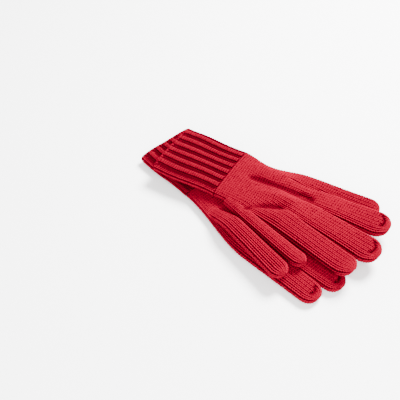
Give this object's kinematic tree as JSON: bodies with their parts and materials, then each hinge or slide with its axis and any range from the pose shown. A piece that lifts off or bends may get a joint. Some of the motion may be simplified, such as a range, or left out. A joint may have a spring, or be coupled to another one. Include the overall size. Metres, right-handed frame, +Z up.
{
  "type": "knitted gloves",
  "caption": "Pair of chunky knitted five-finger gloves with ribbed cuffs, lying flat, the left palm down on the right, fingers fanned.",
  "frame": {"origin": "middle of the pair's footprint, on the surface it lies on", "axes": "+X towards the fingertips, +Y towards the little fingers, +Z up through the thickness of the gloves"},
  "size_m": [0.2377, 0.1323, 0.0215],
  "materials": {
    "plain_knit": "matte plain-knit acrylic yarn, crimson red, slightly fuzzy",
    "rib_knit": "matte ribbed knit of the same yarn",
    "sewing_yarn": "twisted closing yarn",
    "elastic": "covered elastic thread, dyed to match"
  },
  "bodies": {
    "right_glove": {"right_palm": "plain_knit", "right_crotch_stitches": "sewing_yarn", "right_cuff_rib": "rib_knit", "right_cuff_edge": "rib_knit", "right_cuff_elastic": "elastic", "right_middle_stall": "plain_knit", "right_middle_tip_tie": "sewing_yarn", "right_ring_stall": "plain_knit", "right_ring_tip_tie": "sewing_yarn", "right_little_stall": "plain_knit", "right_little_tip_tie": "sewing_yarn"},
    "right_thumb": {"right_thumb_stall": "plain_knit", "right_thumb_tip_tie": "sewing_yarn"},
    "right_index": {"right_index_stall": "plain_knit", "right_index_tip_tie": "sewing_yarn"},
    "left_glove": {"left_palm": "plain_knit", "left_crotch_stitches": "sewing_yarn", "left_cuff_rib": "rib_knit", "left_cuff_edge": "rib_knit", "left_cuff_elastic": "elastic"},
    "left_thumb": {"left_thumb_stall": "plain_knit", "left_thumb_tip_tie": "sewing_yarn"},
    "left_index": {"left_index_stall": "plain_knit", "left_index_tip_tie": "sewing_yarn"},
    "left_middle": {"left_middle_stall": "plain_knit", "left_middle_tip_tie": "sewing_yarn"},
    "left_ring": {"left_ring_stall": "plain_knit", "left_ring_tip_tie": "sewing_yarn"},
    "left_little": {"left_little_stall": "plain_knit", "left_little_tip_tie": "sewing_yarn"}
  },
  "joints": [
    {"name": "left_glove_lift", "type": "slide", "parent": "right_glove", "child": "left_glove", "axis": [0, 0, 1], "range_m": [0, 0.12]},
    {"name": "left_thumb_flex", "type": "hinge", "parent": "left_glove", "child": "left_thumb", "pos_m": [0.01455, -0.03018, 0.0153], "axis": [-0.1668, -0.986, 0], "range_deg": [0, 45]},
    {"name": "left_index_flex", "type": "hinge", "parent": "left_glove", "child": "left_index", "pos_m": [0.0385, -0.01455, 0.0161], "axis": [-0.0991, -0.9932, -0.061], "range_deg": [0, 45]},
    {"name": "left_middle_flex", "type": "hinge", "parent": "left_glove", "child": "left_middle", "pos_m": [0.03785, 0.00743, 0.0153], "axis": [-0.014, -0.9999, 0], "range_deg": [0, 45]},
    {"name": "left_ring_flex", "type": "hinge", "parent": "left_glove", "child": "left_ring", "pos_m": [0.03214, 0.02556, 0.0137], "axis": [0.1477, -0.9884, 0.0349], "range_deg": [0, 45]},
    {"name": "right_thumb_flex", "type": "hinge", "parent": "right_glove", "child": "right_thumb", "pos_m": [0.00993, -0.04514, 0.0159], "axis": [-0.2396, -0.9684, -0.0698], "range_deg": [0, 45]},
    {"name": "left_little_splay", "type": "hinge", "parent": "left_glove", "child": "left_little", "pos_m": [0.02714, 0.04562, 0.0058], "axis": [0, 0, 1], "range_deg": [0, 15]},
    {"name": "right_index_splay", "type": "hinge", "parent": "right_glove", "child": "right_index", "pos_m": [0.02824, -0.04708, 0.005], "axis": [0, 0, -1], "range_deg": [0, 15]}
  ]
}
